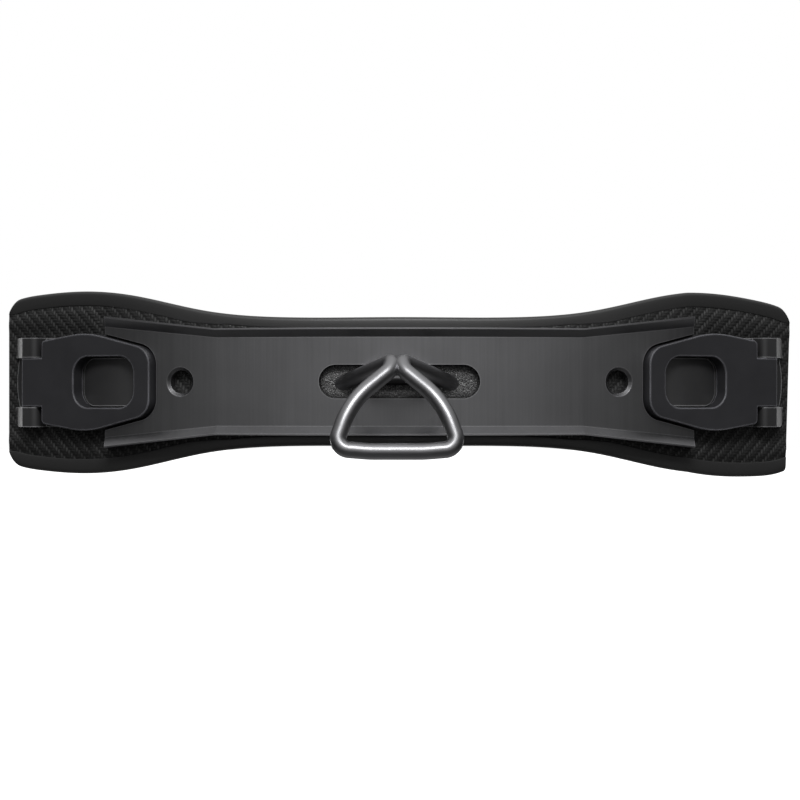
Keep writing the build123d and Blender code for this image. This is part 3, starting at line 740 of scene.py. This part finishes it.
def backdrop():
    """A plain pale floor below the part, kept out of its diffuse light and its reflections."""
    mesh = bpy.data.meshes.new("floor")
    around = ((-1, -1), (1, -1), (1, 1), (-1, 1))
    corners = [(x * FLOOR_HALF_SIZE, y * FLOOR_HALF_SIZE, FLOOR_HEIGHT) for x, y in around]
    mesh.from_pydata(corners, [], [(0, 1, 2, 3)])
    n = Nodes("floor_paper")
    fibres = n.noise(per_metre=40.0, detail=3.0)
    n.surface(n.mix(fibres, grey(0.88), grey(0.92)), 0.9, Emission_Color=(1, 1, 1, 1), Emission_Strength=1.0)
    mesh.materials.append(n.material)
    floor = bpy.data.objects.new("floor", mesh)
    bpy.context.scene.collection.objects.link(floor)
    floor.visible_diffuse = False
    floor.visible_glossy = False


def area_light(name, spot, target, width, height, watts):
    light = bpy.data.lights.new(name, "AREA")
    light.shape = "RECTANGLE"
    light.size, light.size_y = width, height
    light.energy = watts
    lamp = bpy.data.objects.new(name, light)
    bpy.context.scene.collection.objects.link(lamp)
    lamp.location = spot
    lamp.rotation_euler = (Vector(target) - Vector(spot)).to_track_quat("-Z", "Y").to_euler()


FRONT_LEVEL = 0.46  # how bright the soft wall in front is straight ahead
SIDE_LEVEL = 0.045  # and well to the side
BACK_LEVEL = 0.35  # low down behind the part
CEILING_LEVEL = 0.60
GROUND_SHARE = 0.06  # what is left of the walls below the horizon
GROUND_LEVEL = 0.30  # the floor's own brightness, straight down


def studio_world():
    """White behind the part, which reflects a soft front wall, a ceiling, a pale back and a grey floor."""
    world = bpy.data.worlds.new("studio")
    bpy.context.scene.world = world
    world.use_nodes = True
    t = Tree(world.node_tree)
    t.tree.nodes.clear()
    coords = t.add("ShaderNodeTexCoord")
    split = t.add("ShaderNodeSeparateXYZ")
    t.link(coords.outputs["Generated"], split.inputs[0])
    away = split.outputs[1]  # the direction's y, -1 straight in front of the part and 1 behind it
    up = split.outputs[2]  # and its z, 1 straight up
    front = t.span(away, -0.55, -1.0, SIDE_LEVEL, FRONT_LEVEL)
    back = t.span(away, 0.2, 0.9, 0.0, BACK_LEVEL)
    low_down = t.span(up, 0.15, 0.50, 1.0, 0.2)
    ceiling = t.span(up, 0.35, 0.9, 0.0, CEILING_LEVEL)
    above_ground = t.span(up, -0.30, 0.12, GROUND_SHARE, 1.0)
    ground = t.span(up, -0.25, -0.90, 0.0, GROUND_LEVEL)
    behind = t.span(away, -0.10, 0.35, 0.3, 1.0)
    walls = t.math("ADD", front, t.math("MULTIPLY", back, low_down))
    level = t.math("MULTIPLY", t.math("ADD", walls, ceiling), above_ground)
    level = t.math("ADD", level, t.math("MULTIPLY", ground, behind))
    room = t.add("ShaderNodeBackground")
    t.link(level, room.inputs[0])
    white = t.add("ShaderNodeBackground")
    white.inputs[0].default_value = (1, 1, 1, 1)
    path = t.add("ShaderNodeLightPath")
    mix = t.add("ShaderNodeMixShader")
    t.link(path.outputs["Is Camera Ray"], mix.inputs[0])
    t.link(room.outputs[0], mix.inputs[1])
    t.link(white.outputs[0], mix.inputs[2])
    out = t.add("ShaderNodeOutputWorld")
    t.link(mix.outputs[0], out.inputs[0])


CAMERA_DISTANCE = 0.950  # from the middle of the bar's face
CAMERA_RIGHT = 0.25 * MM
CAMERA_HEIGHT = -9.25 * MM
HALF_VIEW = 0.200  # half the width seen at the bar's face

backdrop()
studio_world()
area_light("key_above", (0.02, -1.05, 0.90), (0, 0, 0), width=0.70, height=0.35, watts=8.5)
area_light("rim_left", (-0.95, 1.10, 0.10), (-0.2, 0.06, 0), width=0.4, height=0.8, watts=1.8)
area_light("rim_right", (0.95, 1.10, 0.10), (0.2, 0.06, 0), width=0.4, height=0.8, watts=0.8)

camera_data = bpy.data.cameras.new("camera")
camera_data.angle = 2 * math.atan(HALF_VIEW / CAMERA_DISTANCE)
camera_data.clip_start = 0.05
camera = bpy.data.objects.new("camera", camera_data)
bpy.context.scene.collection.objects.link(camera)
camera.location = (CAMERA_RIGHT, -CAMERA_DISTANCE, CAMERA_HEIGHT)
camera.rotation_euler = (math.radians(90), 0, 0)
bpy.context.scene.camera = camera
bpy.context.scene.view_settings.view_transform = "Standard"
